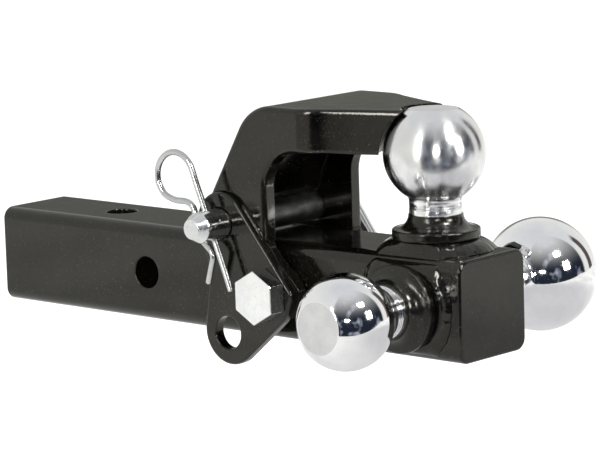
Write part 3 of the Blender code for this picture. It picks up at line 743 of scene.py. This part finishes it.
def make_bolt_set():
    near_face = -(PLATE_OUTER + GAP)
    washer_low = PLATE_OUTER + GAP
    nut_low = washer_low + WASHER_THICKNESS + GAP
    bolt_end = nut_low + NUT_HEIGHT + BOLT_PROUD
    head = hex_block(BOLT_HEAD_HEIGHT)
    bmesh.ops.transform(head, matrix=standing((0, -1, 0), BOLT_X, near_face, BOLT_Z), verts=head.verts)
    bolt = finish_mesh("bolt", head, ["clear_zinc"], None)
    stem = [(0, near_face - 1.0), (BOLT_RADIUS, near_face - 1.0), (BOLT_RADIUS, washer_low - 6)]
    stem += thread(washer_low - 5.6, bolt_end - 1.4)
    stem += [(6.4, bolt_end - 0.3), (6.0, bolt_end), (0, bolt_end)]
    cut(bolt, [tool(turned(stem, 96, standing((0, 1, 0), BOLT_X, 0, BOLT_Z)), "clear_zinc")], "UNION")
    dress(bolt, "ball_mount", "pivot_bolt", angle=25)
    nut = hex_block(NUT_HEIGHT, NUT_BORE)
    place = standing((0, 1, 0), BOLT_X, nut_low, BOLT_Z) @ Matrix.Rotation(pi / 6, 4, "Z")
    bmesh.ops.transform(nut, matrix=place, verts=nut.verts)
    finish_mesh("nut", nut, ["clear_zinc"], "ball_mount", ["pivot_nut"], angle=25)
    make_split_washer(washer_low)
    make_spacers()


def make_spacers():
    for side, _ in SIDES:
        low, high = box_mm(side + "_spacer")
        radius = (high.x - low.x) / 2
        inner = radius - SPACER_EDGE
        profile = [(HOLE_RADIUS, low.y), (inner, low.y), (radius, low.y + SPACER_EDGE),
                   (radius, high.y - SPACER_EDGE), (inner, high.y), (HOLE_RADIUS, high.y)]
        bm = turned(profile, 96, standing((0, 1, 0), BOLT_X, 0, BOLT_Z))
        finish_mesh(side + "_spacer_ring", bm, ["gloss_black"], "ball_mount", [side + "_spacer"])


def make_split_washer(low):
    """Spring lock washer: a square-section ring with one split, whose ends stand apart."""
    steps = 120
    rings = []
    for k in range(steps + 1):
        t = k / steps
        angle = radians(100) + radians(352) * t
        lift = (WASHER_THICKNESS - WASHER_WIRE) * t
        section = [(WASHER_INNER, lift), (WASHER_OUTER, lift), (WASHER_OUTER, lift + WASHER_WIRE),
                   (WASHER_INNER, lift + WASHER_WIRE)]
        rings.append([(r * cos(angle), r * sin(angle), h) for r, h in section])
    bm = loft(rings)
    bmesh.ops.transform(bm, matrix=standing((0, 1, 0), BOLT_X, low, BOLT_Z), verts=bm.verts)
    finish_mesh("split_washer", bm, ["clear_zinc"], "ball_mount", ["lock_washer"])


def make_pin():
    """The bent hitch pin: a stepped, rounded near end, a straight shank, a bend and a grip."""
    along = Vector((cos(PIN_GRIP_SLOPE), 0, -sin(PIN_GRIP_SLOPE)))
    grip = along * cos(PIN_GRIP_LEAN) + Vector((0, sin(PIN_GRIP_LEAN), 0))
    points, radii = [], []
    for share, radius in ((0.0, 4.9), (0.03, 5.1), (0.08, 5.25), (0.5, 6.45), (0.93, PIN_RADIUS - 0.25),
                          (1.0, PIN_RADIUS - 0.08), (1.15, PIN_RADIUS)):
        points.append(Vector((0, PIN_NEAR_END + PIN_NOSE_LENGTH * share, 0)))
        radii.append(radius)
    bend = pi / 2 - PIN_GRIP_LEAN
    for k in range(31):
        angle = bend * k / 30
        points.append(Vector((0, PIN_BEND_START + PIN_BEND_RADIUS * sin(angle), 0))
                      + along * PIN_BEND_RADIUS * (1 - cos(angle)))
        radii.append(PIN_RADIUS)
    foot = points[-1]
    for back, worn in ((1.5, 0.0), (1.0, 0.2), (0.4, 0.7), (0.0, 1.5)):
        points.append(foot + grip * (PIN_GRIP_LENGTH - back))
        radii.append(PIN_RADIUS - worn)
    base = Vector((PIN_X, 0, PIN_Z))
    pin = finish_mesh("hitch_pin", tube([base + point for point in points], radii, 96), ["zinc_pin"], None)
    place = standing((cos(CLIP_SLOPE), 0, sin(CLIP_SLOPE)), PIN_X, CLIP_Y, PIN_Z)
    bore = [(0, -20), (CLIP_HOLE_RADIUS, -20), (CLIP_HOLE_RADIUS, 20), (0, 20)]
    cut(pin, [tool(turned(bore, 48, place), "zinc_pin")])
    dress(pin, "pin", "lock_pin", angle=40)


def make_clip():
    """Hairpin clip; u runs along its straight leg from the pin's middle, and v towards its curved leg."""
    hug = PIN_RADIUS + CLIP_WIRE_RADIUS + CLIP_PLAY
    straight = [(34.9, 0.0), (24.0, 0.0), (12.0, 0.0), (0.0, 0.0), (-12.0, 0.0), (-22.0, 0.1)]
    loop = arc(CLIP_LOOP_U, CLIP_LOOP_RADIUS, CLIP_LOOP_RADIUS, -pi / 2, -3 * pi / 2, 12)
    hollow = [(-24.0, 23.4), (-19.3, 17.8), (-16.6, 11.4), (-13.6, 8.0), (-9.6, 7.2)]
    wrap = arc(0.0, 0.0, hug, radians(121), radians(59), 4)
    tip = [(8.9, 6.4), (12.6, 4.6), (15.6, 4.9), (19.6, 7.9), (26.7, 13.6)]
    path = smooth_path(straight + loop + hollow + wrap + tip, 0.9)
    run, fall = cos(CLIP_SLOPE), sin(CLIP_SLOPE)
    points = [(PIN_X + u * run + v * fall, CLIP_Y, PIN_Z + u * fall - v * run) for u, v in path]
    radii = [CLIP_WIRE_RADIUS] * len(points)
    radii[0] = radii[-1] = CLIP_WIRE_RADIUS - 0.5
    finish_mesh("hairpin", tube(points, radii, 24), ["zinc_wire"], "clip", ["spring_clip"],
                angle=50, weighted=False)


make_bar()
for ball_name, ball_size in BALLS.items():
    make_ball(ball_name, ball_size)
    make_flange(ball_name, ball_size)
    make_bead(ball_name, ball_size)
make_hook()
make_plates()
make_bolt_set()
make_pin()
make_clip()


# ---- studio ----
AZIMUTH, ELEVATION, ROLL = radians(42.19), radians(9.54), radians(-1.80)
TO_FRONT = Vector((sin(AZIMUTH), -cos(AZIMUTH), 0))
TO_RIGHT = Vector((cos(AZIMUTH), sin(AZIMUTH), 0))
FOCAL_PIXELS, PICTURE_WIDTH, SENSOR = 3251, 600, 36
CAMERA_PLACE = Vector((1.29319, -1.21172, 0.30082))
AIM = Vector((0.28, 0.0, 0.03))
FLOOR_LEVEL, FLOOR_REACH = -0.15, 7
CARD_LEVEL, CARD_DEPTH, CARD_REACH = -0.0395, 4.0, 2.5
CARD_FRONT = 0.115             # from the near ball's middle to the card's front edge
# painted shadow: the table card's glow is dimmed round this point, under the object
CARD_SHADE = (0.37, 0.03, CARD_LEVEL)   # the card is darker around this point

# degrees right of the camera and above the horizon, seen from the object; distance, size and power
LAMPS = {
    "left_strip": (-41, 22, 1.5, (0.16, 0.9), 9),
    "by_camera": (2, 13, 2.1, (0.34, 0.12), 9),
    "right_low": (57, 18, 1.5, (0.34, 0.38), 11),
    "right_high": (46, 43, 1.5, (0.34, 0.22), 18),
}
LAMP_TINT = (1.0, 0.99, 0.97)


def plane(name, corners, material):
    mesh = bpy.data.meshes.new(name)
    mesh.from_pydata([tuple(c) for c in corners], [], [(0, 1, 2, 3)])
    made = bpy.data.objects.new(name, mesh)
    bpy.context.scene.collection.objects.link(made)
    mesh.materials.append(material)
    return made


def make_stage():
    """A pale floor, and a white table card under the object that only reflections see, with a painted shadow
    where the object stands over it.
    """
    g = Graph("pale_floor")
    tone = g.mix(g.ramp(g.noise(3.0), 0.3, 0.7), (0.86, 0.86, 0.86, 1), (0.88, 0.88, 0.88, 1))
    g.put(Base_Color=tone, Roughness=0.9, Emission_Color=(1, 1, 1, 1), Emission_Strength=0.42)
    corners = [(x * FLOOR_REACH, y * FLOOR_REACH, FLOOR_LEVEL)
               for x, y in ((-1, -1), (1, -1), (1, 1), (-1, 1))]
    floor = plane("floor", corners, g.material)
    floor.visible_glossy = False
    g = Graph("table_card")
    tone = g.mix(g.ramp(g.noise(13.0, 3.0), 0.35, 0.65), (0.70, 0.70, 0.69, 1), (0.92, 0.92, 0.90, 1))
    # painted shadow: the card's glow falls to grey round CARD_SHADE, standing in for the object's shadow on
    # the table in reflections
    away = g.node("ShaderNodeVectorMath", {0: g.where, 1: CARD_SHADE}, operation="DISTANCE")
    clear = g.ramp(away.outputs["Value"], 0.06, 0.24, kind="SMOOTHSTEP")
    tone = g.mix(clear, (0.52, 0.52, 0.53, 1), tone)
    g.put(Base_Color=(0, 0, 0, 1), Roughness=1.0, Specular_IOR_Level=0.0, Emission_Color=tone,
          Emission_Strength=1.30)
    ball = BALLS["near"]
    front = (ball["x"] * TO_FRONT.x + ball["reach"] * -TO_FRONT.y) * MM + CARD_FRONT
    back = front - CARD_DEPTH
    corners = [TO_FRONT * ahead + TO_RIGHT * side for ahead, side in
               ((front, -CARD_REACH), (front, CARD_REACH), (back, CARD_REACH), (back, -CARD_REACH))]
    card = plane("table_card", [(c.x, c.y, CARD_LEVEL) for c in corners], g.material)
    card.visible_camera = False
    card.visible_diffuse = False
    card.visible_shadow = False


def make_world():
    """White walls around, a pale ceiling, and a dark room past the table in front and to the right.

    A band behind and a narrow gap on the right are dark too. Below the horizon, the front is pale.
    """
    world = bpy.data.worlds.new("studio")
    bpy.context.scene.world = world
    world.use_nodes = True
    g = Graph("studio", world.node_tree)
    toward = g.tree.nodes["Texture Coordinate"].outputs["Generated"]

    def along(axis):
        made = g.node("ShaderNodeVectorMath", {0: toward, 1: tuple(axis)}, operation="DOT_PRODUCT")
        return made.outputs["Value"]

    rise = g.math("ARCSINE", along((0, 0, 1)))
    turn = g.math("ARCTAN2", along(TO_RIGHT), along(TO_FRONT))

    def band(value, low, high, soft):
        """One between two angles in degrees, with soft ends."""
        start = g.ramp(value, radians(low - soft), radians(low + soft), kind="SMOOTHSTEP")
        stop = g.ramp(value, radians(high - soft), radians(high + soft), 1.0, 0.0, kind="SMOOTHSTEP")
        return g.math("MULTIPLY", start, stop)

    fade = g.ramp(rise, radians(14), radians(84), 1.0, 0.0, "SMOOTHSTEP")
    room = g.math("MULTIPLY", band(turn, -34, 98, 3), fade)
    below = g.math("MULTIPLY", band(turn, -80, 98, 3), g.ramp(rise, radians(-2), radians(1), 1.0, 0.0))
    rear = g.ramp(g.math("ABSOLUTE", turn), radians(156), radians(168))
    behind = g.math("MULTIPLY", rear, band(rise, 3, 18, 3))
    gap = g.math("MULTIPLY", band(turn, 114, 128, 2), band(rise, -12, 40, 5))
    wall = g.mix(g.ramp(rise, radians(10), radians(75)), (0.90, 0.90, 0.86, 1), (0.74, 0.76, 0.78, 1))
    colour = g.mix(behind, wall, (0.20, 0.20, 0.18, 1))
    colour = g.mix(below, colour, (0.80, 0.79, 0.74, 1))
    g.where = toward
    clutter = g.ramp(g.noise(2.6, 2.0, 0.5), 0.54, 0.70)
    dark = g.mix(clutter, (0.016, 0.022, 0.036, 1), (0.42, 0.46, 0.54, 1))
    colour = g.mix(room, colour, dark)
    colour = g.mix(gap, colour, (0.10, 0.08, 0.09, 1))
    background = world.node_tree.nodes["Background"]
    g.tree.links.new(colour, background.inputs["Color"])
    background.inputs["Strength"].default_value = 1.0


def make_camera():
    """The camera that was fitted to the photograph."""
    back = TO_FRONT * cos(ELEVATION) + Vector((0, 0, sin(ELEVATION)))
    up = back.cross(TO_RIGHT)
    side = TO_RIGHT * cos(ROLL) + up * sin(ROLL)
    top = up * cos(ROLL) - TO_RIGHT * sin(ROLL)
    data = bpy.data.cameras.new("camera")
    data.sensor_width = SENSOR
    data.lens = FOCAL_PIXELS / PICTURE_WIDTH * SENSOR
    data.clip_start, data.clip_end = 0.05, 50
    camera = bpy.data.objects.new("camera", data)
    bpy.context.scene.collection.objects.link(camera)
    matrix = Matrix((side, top, back)).transposed().to_4x4()
    matrix.translation = CAMERA_PLACE
    camera.matrix_world = matrix
    bpy.context.scene.camera = camera


def make_lamp(name, turn, rise, distance, size, power):
    flat = TO_FRONT * cos(radians(turn)) + TO_RIGHT * sin(radians(turn))
    place = AIM + (flat * cos(radians(rise)) + Vector((0, 0, sin(radians(rise))))) * distance
    data = bpy.data.lights.new(name, "AREA")
    data.shape = "RECTANGLE"
    data.size, data.size_y = size
    data.energy = power
    data.color = LAMP_TINT
    lamp = bpy.data.objects.new(name, data)
    bpy.context.scene.collection.objects.link(lamp)
    lamp.location = place
    lamp.rotation_euler = (AIM - place).to_track_quat("-Z", "Y").to_euler()


make_stage()
make_world()
for lamp_name, lamp_setting in LAMPS.items():
    make_lamp(lamp_name, *lamp_setting)
bpy.context.scene.view_settings.view_transform = "Standard"
make_camera()
